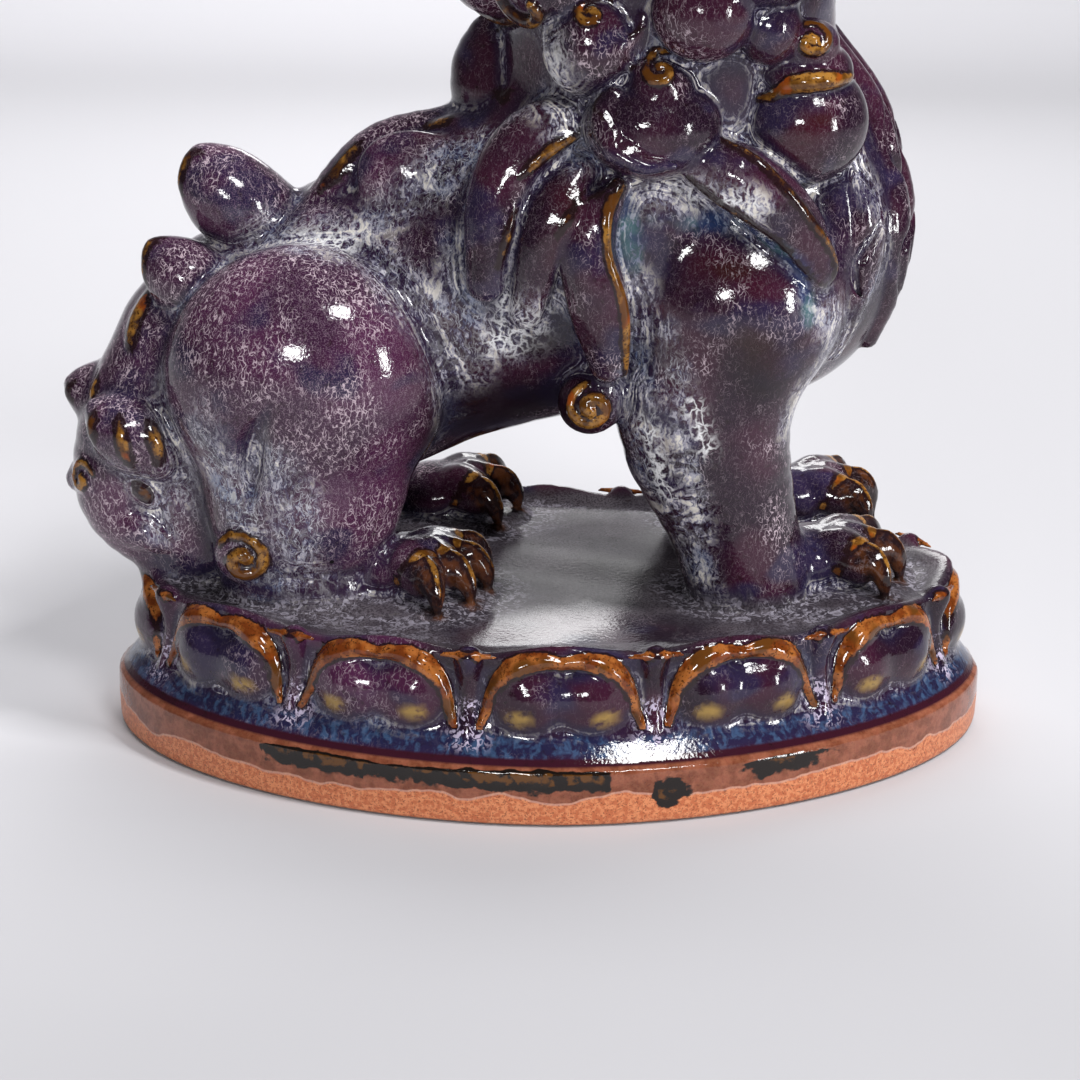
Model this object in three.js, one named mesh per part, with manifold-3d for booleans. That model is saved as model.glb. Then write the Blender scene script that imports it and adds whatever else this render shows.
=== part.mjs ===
// A seated guardian beast of glazed stoneware on an oval lotus plinth, modelled and fired in one piece.
// Millimetres, +Z up. The beast's chest faces +X, its head turns towards -Y.
// The origin is the middle of the flat underside.

import * as THREE from "three";
import { mergeVertices } from "three/addons/utils/BufferGeometryUtils.js";
import Module from "manifold-3d";

const wasm = await Module();
wasm.setup();

// Plinth: an oval foot, a ledge where the glaze stops, a hollowed side and a waved rim
const FOOT_A = 120;
const FOOT_B = 74;
const FOOT_TOP = 15.9;
const OVAL_POWER = 1.84;
const PLINTH_TOP = 41;
const RIM_TOP = 43.8;
const RIM_WAVE = 1.6;
const PETALS = 12;
const PETAL_LOW = 24;
const PETAL_HIGH = 41;
const PETAL_HALF = 0.43;
const PETAL_COLUMNS = [-0.5, -PETAL_HALF, -0.2, 0.2, PETAL_HALF];

// Beast: the middle line of its body, and the lines that its near and far legs stand on
const AXIS_Y = 10;
const NEAR_LEG_Y = -17;
const FAR_LEG_Y = 38;
const NEAR = -1;
const FAR = 1;

// Head: its centre and the way that it turns, in degrees from +X
const HEAD_CENTRE = [27, -6, 238];
const HEAD_YAW = -58;

const GLAZE = new THREE.MeshStandardMaterial({ color: 0x4a2b44, roughness: 0.16, metalness: 0 });

const vec = (p) => new THREE.Vector3(...p);
const rad = THREE.MathUtils.degToRad;

// Turns a closed three.js geometry into a manifold solid, its seams welded
function solid(geometry) {
  const bare = geometry.clone();
  bare.deleteAttribute("normal");
  bare.deleteAttribute("uv");
  const welded = mergeVertices(bare, 1e-4);
  const corners = welded.index.array;
  const kept = [];
  for (let i = 0; i < corners.length; i += 3) {
    const [a, b, c] = [corners[i], corners[i + 1], corners[i + 2]];
    if (a !== b && b !== c && c !== a) kept.push(a, b, c);
  }
  const mesh = new wasm.Mesh({
    numProp: 3,
    vertProperties: new Float32Array(welded.attributes.position.array),
    triVerts: new Uint32Array(kept),
  });
  return new wasm.Manifold(mesh);
}

const join = (parts) => parts.reduce((whole, part) => whole.add(part));

// A rounded tube through points, its radius going smoothly through radii.
// wide stretches the section along the direction across.
function limb(points, radii, { sides = 10, steps = 8, caps = 2, wide = 1, across = [0, 1, 0] } = {}) {
  const curve = new THREE.CatmullRomCurve3(points.map(vec));
  const swell = new THREE.CatmullRomCurve3(radii.map((r, i) => new THREE.Vector3(i, r, 0)));
  const tube = new THREE.CapsuleGeometry(1, steps, caps, sides, steps);
  const place = tube.attributes.position;
  for (let i = 0; i < place.count; i++) {
    const y = THREE.MathUtils.clamp(place.getY(i), -steps / 2, steps / 2);
    const past = place.getY(i) - y;
    const t = y / steps + 0.5;
    const radius = swell.getPoint(t).y;
    const forward = curve.getTangent(t);
    const broad = vec(across).addScaledVector(forward, -vec(across).dot(forward)).normalize();
    const thin = new THREE.Vector3().crossVectors(forward, broad);
    const p = curve.getPoint(t)
      .addScaledVector(forward, past * radius)
      .addScaledVector(broad, place.getZ(i) * radius * wide)
      .addScaledVector(thin, place.getX(i) * radius);
    place.setXYZ(i, p.x, p.y, p.z);
  }
  return solid(tube);
}

// An egg-shaped mass: centre, half sizes and a turn in degrees about X, Y and Z
function egg(centre, half, { turn = [0, 0, 0], sides = 14, rows = 9 } = {}) {
  const ball = new THREE.SphereGeometry(1, sides, rows);
  ball.rotateX(Math.PI / 2);
  ball.scale(...half);
  ball.rotateX(rad(turn[0]));
  ball.rotateY(rad(turn[1]));
  ball.rotateZ(rad(turn[2]));
  ball.translate(...centre);
  return solid(ball);
}

// Directions of a frame whose first axis is facing
function frameTo(facing) {
  const out = vec(facing).normalize();
  const side = new THREE.Vector3(0, 0, 1).cross(out).normalize();
  return { out, side, up: new THREE.Vector3().crossVectors(out, side) };
}

// The coiled end of a lock: one thick tapering strand that winds in to the middle of the coil
function coil(centre, facing, radius, { turns = 1.4, hand = 1 } = {}) {
  const { out, side, up } = frameTo(facing);
  const points = [];
  for (let i = 0; i <= 6; i++) {
    const t = i / 6;
    const angle = hand * t * turns * 2 * Math.PI;
    const reach = radius * 0.72 * (1 - 0.9 * t);
    const p = vec(centre)
      .addScaledVector(side, reach * Math.cos(angle))
      .addScaledVector(up, reach * Math.sin(angle))
      .addScaledVector(out, radius * 0.4 * t);
    points.push(p.toArray());
  }
  const radii = [radius * 0.36, radius * 0.3];
  return limb(points, radii, { sides: 5, steps: 7, caps: 1, wide: 1.7, across: facing });
}

// A plainer curl: a pointed round knob with one ridge that winds up it like a snail's
function knob(centre, facing, radius, { hand = 1, sides = 7, rows = 5 } = {}) {
  const { out, side, up } = frameTo(facing);
  const ball = new THREE.SphereGeometry(1, sides, rows);
  const place = ball.attributes.position;
  for (let i = 0; i < place.count; i++) {
    const height = place.getY(i);
    const fromTip = Math.acos(THREE.MathUtils.clamp(height, -1, 1));
    const round = Math.atan2(place.getZ(i), place.getX(i));
    const ridge = Math.sin(fromTip) > 0.1 ? 0.15 * Math.cos(round * hand - 3 * fromTip) : 0;
    const reach = radius * (1 + ridge);
    const p = vec(centre)
      .addScaledVector(out, height * radius * 1.15)
      .addScaledVector(side, place.getX(i) * reach)
      .addScaledVector(up, -place.getZ(i) * reach);
    place.setXYZ(i, p.x, p.y, p.z);
  }
  return solid(ball);
}

// The plinth's hollowed side: height and inset from the foot's edge
const SIDE = [[FOOT_TOP, 2.4], [20, 5], [28, 8.6], [36, 9.8], [RIM_TOP, 8.9]];

function sideInset(height) {
  const k = Math.max(1, SIDE.findIndex(([z]) => z >= height));
  const [z0, inset0] = SIDE[k - 1];
  const [z1, inset1] = SIDE[k];
  return THREE.MathUtils.mapLinear(height, z0, z1, inset0, inset1);
}

function ovalPoint(inset, angle) {
  const power = 2 / OVAL_POWER;
  const c = Math.cos(angle);
  const s = Math.sin(angle);
  const x = (FOOT_A - inset) * Math.sign(c) * Math.abs(c) ** power;
  const y = (FOOT_B - inset) * Math.sign(s) * Math.abs(s) ** power;
  return [x, y];
}

// Lengths along the foot's edge from the middle of the -Y side, so that the petals come out alike
const EDGE_FINE = 3000;
const EDGE = [0];
for (let i = 1; i <= EDGE_FINE; i++) {
  const [x0, y0] = ovalPoint(0, -Math.PI / 2 + ((i - 1) / EDGE_FINE) * 2 * Math.PI);
  const [x1, y1] = ovalPoint(0, -Math.PI / 2 + (i / EDGE_FINE) * 2 * Math.PI);
  EDGE.push(EDGE[i - 1] + Math.hypot(x1 - x0, y1 - y0));
}

function edgeAngle(turn) {
  const wanted = EDGE[EDGE_FINE] * (((turn % 1) + 1) % 1);
  return -Math.PI / 2 + (EDGE.findIndex((length) => length >= wanted) / EDGE_FINE) * 2 * Math.PI;
}

// Heights and insets up one column of the plinth, across a petal from -0.5 to 0.5:
// foot, ledge, hollow, the petal's swelling, its raised arched rim, the waved top edge and the dished top
function column(across) {
  const inPetal = Math.abs(across) <= PETAL_HALF;
  const spread = Math.min(1, Math.abs(across) / PETAL_HALF);
  const arch = inPetal ? PETAL_LOW + 2 + (PETAL_HIGH - PETAL_LOW - 2) * (1 - spread ** 3) : 34;
  const rim = inPetal ? 1.9 - 0.9 * spread ** 4 : 1.3;
  const swell = inPetal && spread < 1 ? 2.4 + 1.2 * Math.sin(Math.PI * spread) : 0;
  const middle = PETAL_LOW + 0.45 * (arch - PETAL_LOW);
  const inner = Math.max(PETAL_LOW + 1, arch - 2.4);
  const outer = Math.min(RIM_TOP - 0.8, arch + 2.2);
  const top = RIM_TOP + RIM_WAVE * Math.cos(2 * Math.PI * across);
  return [
    [0, 0], [FOOT_TOP, 0], [FOOT_TOP, SIDE[0][1]],
    [PETAL_LOW, sideInset(PETAL_LOW)],
    [middle, sideInset(middle) - swell],
    [inner, sideInset(inner) - 0.2],
    [arch, sideInset(arch) - rim],
    [outer, sideInset(outer)],
    [top, sideInset(RIM_TOP)],
    [top - 0.6, sideInset(RIM_TOP) + 2.6],
    [PLINTH_TOP, sideInset(RIM_TOP) + 9],
  ];
}

function plinth() {
  const columns = [];
  for (let petal = 0; petal < PETALS; petal++) {
    for (const across of PETAL_COLUMNS) {
      const angle = edgeAngle((petal + across) / PETALS);
      columns.push(column(across).map(([height, inset]) => [...ovalPoint(inset, angle), height]));
    }
  }
  const rows = columns[0].length;
  const positions = columns.flat(2);
  const bottom = columns.length * rows;
  positions.push(0, 0, 0, 0, 0, PLINTH_TOP);
  const faces = [];
  columns.forEach((_, i) => {
    const here = i * rows;
    const next = ((i + 1) % columns.length) * rows;
    faces.push(bottom, next, here);
    for (let row = 0; row + 1 < rows; row++) {
      faces.push(here + row, next + row, next + row + 1, here + row, next + row + 1, here + row + 1);
    }
    faces.push(here + rows - 1, next + rows - 1, bottom + 1);
  });
  const geometry = new THREE.BufferGeometry();
  geometry.setAttribute("position", new THREE.Float32BufferAttribute(positions, 3));
  geometry.setIndex(faces);
  return solid(geometry);
}

// The trunk from rump to chest, and the neck that carries the head
function trunk() {
  const loins = [[-76, AXIS_Y, 96], [-50, AXIS_Y, 108], [-22, AXIS_Y, 122], [-6, AXIS_Y, 128]];
  const ribs = [[-16, AXIS_Y, 124], [10, AXIS_Y, 133], [42, AXIS_Y, 136]];
  const neck = [[24, AXIS_Y, 150], [27, AXIS_Y - 2, 180], [28, 0, 215]];
  return [
    limb(loins, [40, 40, 41, 42], { sides: 12, steps: 3, caps: 2, wide: 0.78 }),
    limb(ribs, [42, 46, 44], { sides: 12, steps: 3, caps: 2, wide: 0.9 }),
    egg([51, AXIS_Y, 136], [41, 37, 47], { turn: [0, -10, 0], sides: 14, rows: 8 }),
    limb(neck, [42, 43, 40], { sides: 12, steps: 3, caps: 1 }),
  ];
}

// One rear leg folded under the beast, on the line y, its hock ending in a curl
function rearLeg(y, side) {
  const shank = [[-65, y, 92], [-66, y, 70], [-69, y, 54], [-68, y, 44]];
  const curl = side === NEAR ? coil : knob;
  return [
    egg([-65, y - side * 3, 99], [36.5, 25, 36], { turn: [side * -6, 0, 0], sides: 14, rows: 8 }),
    limb(shank, [30, 26, 20, 21], { sides: 10, steps: 5, caps: 1, wide: 0.6 }),
    curl([-81, y + side * 7, 55], [-0.25, side, 0.1], 6.2, { hand: side }),
  ];
}

// One front leg from the shoulder down to the plinth
function frontLeg(y, side) {
  const shaft = [[46, y, 118], [38, y, 92], [46, y, 64], [52, y, 44]];
  return [
    egg([45, y + side, 121], [27, 22, 26], { turn: [side * -6, 0, 0], sides: 12, rows: 8 }),
    limb(shaft, [23, 23, 17.5, 16.5], { sides: 9, steps: 6, caps: 1, wide: 0.85 }),
  ];
}

// A paw: a pad, and toes fanned about a heading in degrees, each arching over into a hooked claw
function paw(centre, heading, { fan = 38, toes = 3 } = {}) {
  const parts = [egg(centre, [14, 12, 8], { turn: [0, 0, heading], sides: 8, rows: 5 })];
  for (let i = 0; i < toes; i++) {
    const bearing = rad(heading + fan * (i - (toes - 1) / 2));
    const ahead = (reach, height) => [
      centre[0] + Math.cos(bearing) * reach, centre[1] + Math.sin(bearing) * reach, height,
    ];
    const lift = centre[2] + 3;
    const toe = [ahead(3, lift - 1), ahead(10, lift), ahead(17, lift), ahead(23, PLINTH_TOP + 1)];
    const across = [-Math.sin(bearing), Math.cos(bearing), 0];
    parts.push(limb(toe, [6.5, 8, 4.6, 0.9], { sides: 5, steps: 4, caps: 1, across }));
  }
  return parts;
}

// Flame-like knobs down the spine, the ridge between them, and the curled tail they run into
function spineAndTail() {
  const flame = { sides: 7, steps: 3, caps: 1 };
  return [
    limb([[-73, 8, 134], [-84, 4, 144], [-93, 3, 152.5]], [12, 12.4, 4.5], flame),
    limb([[-90, -1, 120], [-96.5, -4, 124.5], [-104, -5, 130]], [9.5, 10, 4], flame),
    limb([[-66, 6, 136], [-56, 3, 146], [-44, 5, 155], [-26, 7, 162]], [3, 6.5, 8, 5], flame),
    limb([[-6, 8, 156], [-14, 8, 172], [-17, 8, 183]], [14, 14, 7], { sides: 8, steps: 4 }),
    limb([[-104, 10, 86], [-116, 12, 91], [-129, 12, 94]], [11, 11, 3.5], flame),
    limb([[-104, -5, 84], [-113, -8, 88], [-121.5, -8, 93]], [10.5, 10.2, 4.5], flame),
    limb([[-110, 8, 72], [-122, 8, 67], [-129, 8, 65]], [9, 8, 4.5], flame),
    limb([[-100, 6, 104], [-110, 6, 82], [-115, 4, 64], [-107, 2, 52], [-92, 0, 43]], [16, 17, 14, 11, 9],
      { sides: 8, steps: 7, caps: 1, wide: 1.2 }),
    limb([[-88, 4, 82], [-88, 3, 66], [-86, 2, 48]], [15, 14, 12], { sides: 7, steps: 3, caps: 1 }),
    limb([[-120, -4, 58], [-111, -9, 57], [-101, -12, 53]], [3, 5.5, 2], { sides: 5, steps: 3, caps: 1 }),
  ];
}

// Locks that fall from the mane over the neck and shoulder; the far side has only the larger two
function locks(side) {
  const y = (depth) => AXIS_Y + side * depth;
  const lock = { sides: 6, steps: 5, caps: 1 };
  const both = [
    limb([[4, y(34), 168], [-8, y(35), 162], [-16, y(38), 149], [-19, y(41), 129]], [6, 8, 8, 5], lock),
    limb([[32, y(44), 160], [44, y(46), 156], [56, y(45), 146], [62, y(41), 134]], [5, 8.5, 8, 5.5], lock),
  ];
  if (side === FAR) return both;
  return [
    ...both,
    limb([[4, y(41), 155], [-2, y(42), 146], [-6, y(42), 135], [-8, y(41), 121]], [4, 7.5, 6.5, 4], lock),
    limb([[12, y(45), 152], [5, y(46), 141], [6, y(44), 123], [12, y(39), 106]], [3.5, 6, 6, 4.5], lock),
    egg([11, y(31), 98], [8.5, 9, 9], { sides: 7, rows: 4 }),
    coil([8, y(36), 96], [-0.1, side, 0.15], 7, { hand: -side }),
  ];
}

// Long strands down the chest, side by side
function chestStrands() {
  const strands = [];
  for (let i = 0; i < 5; i++) {
    const bearing = rad(-52 + 26 * i);
    const at = (reach, height) => [
      51 + reach * Math.cos(bearing), AXIS_Y + 0.9 * reach * Math.sin(bearing), height,
    ];
    const path = [at(17, 184), at(28, 166), at(36.5, 144), at(38.5, 124), at(34, 109)];
    strands.push(limb(path, [5, 6.5, 6.5, 6, 3], { sides: 5, steps: 4, caps: 1 }));
  }
  return strands;
}

// The head in its own frame, facing +X, with its eyes, nostrils, brows, lips and ears in pairs
function head() {
  const fold = { sides: 5, steps: 5, caps: 1 };
  const parts = [
    egg([2, 0, 4], [36, 36, 34], { sides: 10, rows: 7 }),
    egg([-12, 0, -10], [40, 46, 48], { sides: 10, rows: 7 }),
    egg([32, 0, -10], [24, 25, 16], { sides: 10, rows: 6 }),
    egg([26, 0, -32], [22, 19, 12], { sides: 8, rows: 5 }),
    egg([53, 0, -1], [9, 12, 8], { sides: 7, rows: 5 }),
  ];
  for (const side of [NEAR, FAR]) {
    const brow = [[38, side * 5, 14], [37, side * 14, 24], [28, side * 27, 25], [16, side * 37, 17]];
    const lip = [[54, side * 5, -14], [49, side * 17, -18], [35, side * 26, -20], [22, side * 30, -11]];
    parts.push(
      egg([30, side * 16, 11], [9.5, 9.5, 9.5], { sides: 8, rows: 5 }),
      egg([51, side * 9, -2], [7, 6, 6], { sides: 6, rows: 4 }),
      limb(brow, [4, 5.5, 5, 3.5], fold),
      limb(lip, [4, 4.5, 4.5, 3], fold),
      egg([2, side * 39, 24], [5, 9, 15], { turn: [side * -28, -14, 0], sides: 7, rows: 5 }),
    );
  }
  return parts;
}

// Rows of curled mane locks round the head, leaving the face free
function maneCurls() {
  const rows = [
    { up: -34, count: 7, start: 66, size: 14 },
    { up: -4, count: 4, start: 92, size: 15.5 },
    { up: 24, count: 3, start: 112, size: 14 },
  ];
  const parts = [];
  for (const { up, count, start, size } of rows) {
    for (let i = 0; i < count; i++) {
      const angle = rad(start + ((360 - 2 * start) * i) / (count - 1));
      const ring = Math.sqrt(1 - ((up + 10) / 54) ** 2);
      const centre = [-12 + 36 * ring * Math.cos(angle), 44 * ring * Math.sin(angle), up];
      const facing = [Math.cos(angle), Math.sin(angle), up / 60];
      parts.push(knob(centre, facing, size, { hand: i % 2 ? 1 : -1 }));
    }
  }
  parts.push(knob([-2, 0, 38], [0.2, 0, 1], 20, { sides: 9, rows: 6 }));
  return parts;
}

function placedHead() {
  return join([...head(), ...maneCurls()]).rotate([0, 0, HEAD_YAW]).translate(HEAD_CENTRE);
}

// Curls of beard and mane that hang below the head over the chest and shoulder, each winding up to a button on top
function beardCurls() {
  const bulb = { sides: 8, rows: 6 };
  const button = { sides: 6, rows: 4 };
  return [
    egg([32, -37, 196], [12.5, 12, 12], bulb),
    egg([48, -33, 192], [8, 9, 9], { sides: 7, rows: 5 }),
    egg([21, -31, 168], [17, 13, 13], bulb),
    egg([22, -33, 177], [9, 9, 8], { sides: 7, rows: 5 }),
    knob([22, -36, 182], [0, -0.6, 0.8], 6, button),
    egg([59, -23, 168], [16, 15.5, 15.5], bulb),
    egg([57, -26, 181], [12, 11, 8], { sides: 7, rows: 5 }),
    knob([56, -31, 187], [0, -0.6, 0.8], 6, button),
    egg([5, -28, 188], [12, 12, 13], bulb),
    knob([5, -37, 197], [-0.1, -0.8, 0.6], 6, button),
  ];
}

const beast = join([
  plinth(),
  ...trunk(),
  ...rearLeg(NEAR_LEG_Y, NEAR),
  ...rearLeg(FAR_LEG_Y, FAR),
  ...frontLeg(NEAR_LEG_Y, NEAR),
  ...frontLeg(FAR_LEG_Y, FAR),
  ...paw([-41, -14, 48], -25, { toes: 4, fan: 27 }),
  ...paw([-32, 48, 48], -4),
  ...paw([70, -9, 49], -6),
  ...paw([72, 42, 49], 4),
  ...spineAndTail(),
  ...locks(NEAR),
  ...locks(FAR),
  ...chestStrands(),
  ...beardCurls(),
  placedHead(),
]);

// The corners of the triangles in the outer skin of a mesh, without the skins of pockets closed off inside it
function outerSkin(vertProperties, triVerts) {
  const root = Array.from({ length: vertProperties.length / 3 }, (_, i) => i);
  const find = (i) => {
    while (root[i] !== i) i = root[i] = root[root[i]];
    return i;
  };
  for (let i = 0; i < triVerts.length; i += 3) {
    root[find(triVerts[i + 1])] = find(triVerts[i]);
    root[find(triVerts[i + 2])] = find(triVerts[i]);
  }
  let lowest = 0;
  for (let i = 0; i < vertProperties.length / 3; i++) {
    if (vertProperties[3 * i + 2] < vertProperties[3 * lowest + 2]) lowest = i;
  }
  return triVerts.filter((corner) => find(corner) === find(lowest));
}

function meshOf(shape, name, material) {
  const { vertProperties, triVerts } = shape.getMesh();
  const geometry = new THREE.BufferGeometry();
  geometry.setAttribute("position", new THREE.BufferAttribute(vertProperties, 3));
  geometry.setIndex(new THREE.BufferAttribute(outerSkin(vertProperties, triVerts), 1));
  const mesh = new THREE.Mesh(geometry, material);
  mesh.name = name;
  return mesh;
}

const statue = new THREE.Group();
statue.add(meshOf(beast, "beast_on_lotus_plinth", GLAZE));

export default statue;
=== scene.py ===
"""Looks of the glazed guardian beast on its lotus plinth.

The beast is modelled as one clay body from the solid's own named sizes, in millimetres, with the finer
carving added, and then glazed. Everything is in the row frame, and the finished mesh is in metres.
"""

import math

import bpy
import numpy as np
from mathutils import Matrix, Vector


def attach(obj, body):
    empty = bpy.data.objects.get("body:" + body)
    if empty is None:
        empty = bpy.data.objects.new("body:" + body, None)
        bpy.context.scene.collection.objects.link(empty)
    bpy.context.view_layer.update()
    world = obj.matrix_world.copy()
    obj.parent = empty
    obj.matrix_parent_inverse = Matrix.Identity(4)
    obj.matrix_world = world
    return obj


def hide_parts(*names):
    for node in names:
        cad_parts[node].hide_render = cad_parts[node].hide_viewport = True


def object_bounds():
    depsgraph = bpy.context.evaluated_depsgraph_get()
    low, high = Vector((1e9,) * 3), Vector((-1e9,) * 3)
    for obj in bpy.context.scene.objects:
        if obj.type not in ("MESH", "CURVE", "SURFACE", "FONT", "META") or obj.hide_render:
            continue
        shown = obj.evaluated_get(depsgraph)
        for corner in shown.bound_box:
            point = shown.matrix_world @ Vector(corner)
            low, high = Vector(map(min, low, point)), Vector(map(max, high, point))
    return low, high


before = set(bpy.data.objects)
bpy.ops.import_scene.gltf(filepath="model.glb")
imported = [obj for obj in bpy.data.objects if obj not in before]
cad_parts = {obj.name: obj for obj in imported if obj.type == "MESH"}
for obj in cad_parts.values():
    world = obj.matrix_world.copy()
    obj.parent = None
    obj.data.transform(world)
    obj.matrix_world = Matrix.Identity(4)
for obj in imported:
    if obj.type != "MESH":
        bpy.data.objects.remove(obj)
solid_low, solid_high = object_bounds()

MM = 0.001
STEP = 0.8
TRIANGLES = 190000
BOX_GAP = 0.00005
ORANGE_PEEL = 0.00006

# Plinth
FOOT_A = 119.5
FOOT_B = 73.4
FOOT_TOP = 15.9
OVAL_POWER = 1.84
PLINTH_TOP = 41
RIM_TOP = 43.8
RIM_WAVE = 1.4
PETALS = 12
PETAL_LOW = 24
PETAL_HIGH = 41
PETAL_HALF = 0.43

# Beast
AXIS_Y = 10
NEAR_LEG_Y = -17
FAR_LEG_Y = 38
NEAR = -1
FAR = 1
HEAD_CENTRE = (27, -6, 238)
HEAD_YAW = -58
PINHOLE = (-58.5, -28.5, 54.4)

# Clay body: distances to the surface on a regular grid, negative inside
LOW = np.array([-134.0, -77.0, -4.0])
HIGH = np.array([123.0, 77.0, 302.0])
KEPT = 9.0
counts = np.ceil((HIGH - LOW) / STEP).astype(int) + 1
lines = [np.float32(LOW[i] + STEP * np.arange(counts[i])) for i in range(3)]
clay = np.full(counts, KEPT, np.float32)


def window(low, high):
    """The slices of the grid between two corners, and the coordinates there."""
    cuts = []
    for i in range(3):
        first = max(0, int((low[i] - LOW[i]) / STEP))
        last = min(counts[i], int((high[i] - LOW[i]) / STEP) + 2)
        cuts.append(slice(first, last))
    x = lines[0][cuts[0]][:, None, None]
    y = lines[1][cuts[1]][None, :, None]
    z = lines[2][cuts[2]][None, None, :]
    return tuple(cuts), x, y, z


def soft_min(a, b, blend):
    near = np.maximum(blend - np.abs(a - b), 0) / blend
    return np.minimum(a, b) - near * near * blend / 4


def add(shape, blend=3.0):
    """Joins a shape to the clay, with a fillet about as wide as blend."""
    low, high, distance = shape
    margin = KEPT + blend / 2
    cuts, x, y, z = window(low - margin, high + margin)
    clay[cuts] = soft_min(clay[cuts], distance(x, y, z), blend)


def carve(shape, blend=1.0):
    """Cuts a shape out of the clay."""
    low, high, distance = shape
    cuts, x, y, z = window(low - blend - 2, high + blend + 2)
    clay[cuts] = -soft_min(-clay[cuts], distance(x, y, z), blend)


def smooth_path(points, radii, pieces):
    """Points and radii along a smooth curve through the given ones."""
    p = np.column_stack([np.array(points, float), np.array(radii, float)])
    p = np.vstack([2 * p[0] - p[1], p, 2 * p[-1] - p[-2]])
    rows = []
    for i in range(1, len(p) - 2):
        a, b, c, d = p[i - 1:i + 3]
        for t in np.arange(pieces) / pieces:
            rows.append(0.5 * (2 * b + (c - a) * t + (2 * a - 5 * b + 4 * c - d) * t ** 2
                               + (3 * b - a - 3 * c + d) * t ** 3))
    rows.append(p[-2])
    return np.array(rows)


def limb(points, radii, wide=1.0, pieces=4):
    """A rounded tube through points, its radius going smoothly through radii, and wide times as broad."""
    if len(radii) != len(points):
        places = np.linspace(0, len(radii) - 1, len(points))
        radii = np.interp(places, range(len(radii)), radii)
    path = smooth_path(points, radii, pieces)
    centre, radius = path[:, :3], np.maximum(path[:, 3], 0.2)
    reach = (radius * max(1, wide))[:, None]
    low, high = (centre - reach).min(0), (centre + reach).max(0)

    def distance(x, y, z):
        nearest = None
        for a, b, ra, rb in zip(centre[:-1], centre[1:], radius[:-1], radius[1:]):
            dx, dy, dz = b[0] - a[0], (b[1] - a[1]) / wide, b[2] - a[2]
            px, py, pz = x - np.float32(a[0]), (y - np.float32(a[1])) / np.float32(wide), z - np.float32(a[2])
            t = (px * dx + py * dy + pz * dz) / max(dx * dx + dy * dy + dz * dz, 1e-6)
            t = np.clip(t, 0, 1).astype(np.float32)
            gap = np.sqrt((px - t * dx) ** 2 + (py - t * dy) ** 2 + (pz - t * dz) ** 2) - (ra + t * (rb - ra))
            nearest = gap if nearest is None else np.minimum(nearest, gap)
        return nearest.astype(np.float32) * np.float32(min(1, wide) ** 0.5)

    return low, high, distance


def turned(turn):
    """The rotation by degrees about X, then Y, then Z."""
    x, y, z = (math.radians(a) for a in turn)
    return np.array(Matrix.Rotation(z, 3, "Z") @ Matrix.Rotation(y, 3, "Y") @ Matrix.Rotation(x, 3, "X"))


def egg(centre, half, turn=(0, 0, 0)):
    """An egg-shaped mass: centre, half sizes and a turn in degrees about X, Y and Z."""
    spin = turned(turn).astype(np.float32)
    centre, half = np.array(centre, np.float32), np.array(half, np.float32)
    reach = np.sqrt((spin ** 2 * half ** 2).sum(1))
    long = float(half.max())

    def distance(x, y, z):
        away = (x - centre[0], y - centre[1], z - centre[2])
        own = [away[0] * spin[0, i] + away[1] * spin[1, i] + away[2] * spin[2, i] for i in range(3)]
        full = np.sqrt(sum((own[i] / half[i]) ** 2 for i in range(3)))
        slope = np.sqrt(sum((own[i] / half[i] ** 2) ** 2 for i in range(3)))
        return np.maximum(full, 0.3) * (full - 1) / np.maximum(slope, 0.3 / long)

    return centre - reach, centre + reach, distance


def frame_to(facing):
    """Directions of a frame whose first axis is facing."""
    out = np.array(facing, float) / np.linalg.norm(facing)
    side = np.cross((0, 0, 1), out)
    side /= np.linalg.norm(side)
    return out, side, np.cross(out, side)


def knob(centre, facing, radius, hand=1):
    """A curl: a pointed round knob with one ridge that winds up it like a snail's."""
    out, side, up = frame_to(facing)
    spin = np.column_stack([side, up, out])
    turn = [math.degrees(a) for a in Matrix(spin.tolist()).to_euler("XYZ")]
    body = egg(np.array(centre) - out * radius * 0.05, (radius * 0.93, radius * 0.93, radius), turn)
    ridge = []
    for t in np.linspace(0, 1, 15):
        tip = 0.1 + 1.75 * t
        angle = hand * 3.2 * tip * 1.15
        ring = radius * 0.93 * math.sin(tip)
        ridge.append(np.array(centre) + out * radius * 1.02 * math.cos(tip)
                     + side * ring * math.cos(angle) + up * ring * math.sin(angle))
    return body, limb(ridge, (radius * 0.1, radius * 0.16, radius * 0.2, radius * 0.16), pieces=2)


# Ridges where the glaze runs thin and fires amber, golden spots, and claws that fire nearly black
amber = []
gold_spots = []
burnt = []


def add_amber(shape, blend=1.0, proud=0.45):
    """Joins a ridge that fires amber out to proud millimetres from its own surface."""
    add(shape, blend)
    amber.append((shape, proud))


def sample(values, points):
    """Values of a grid at points, by straight interpolation."""
    at = (points - LOW) / STEP
    base = np.clip(np.floor(at).astype(int), 0, np.array(values.shape) - 2)
    part = at - base
    result = np.zeros(len(points))
    for i in (0, 1):
        for j in (0, 1):
            for k in (0, 1):
                weight = np.prod(np.where([i, j, k], part, 1 - part), axis=1)
                result += weight * values[base[:, 0] + i, base[:, 1] + j, base[:, 2] + k]
    return result


def settle(points, sink):
    """The same points moved onto the clay's surface, and that far into it."""
    moved = np.array(points, float)
    for _ in range(4):
        deep = sample(clay, moved) + sink
        steps = STEP * np.eye(3)
        slope = np.stack([sample(clay, moved + step) - sample(clay, moved - step) for step in steps], 1)
        slope /= 2 * STEP
        moved -= (deep / np.maximum((slope ** 2).sum(1), 0.3))[:, None] * slope
    return moved


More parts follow.
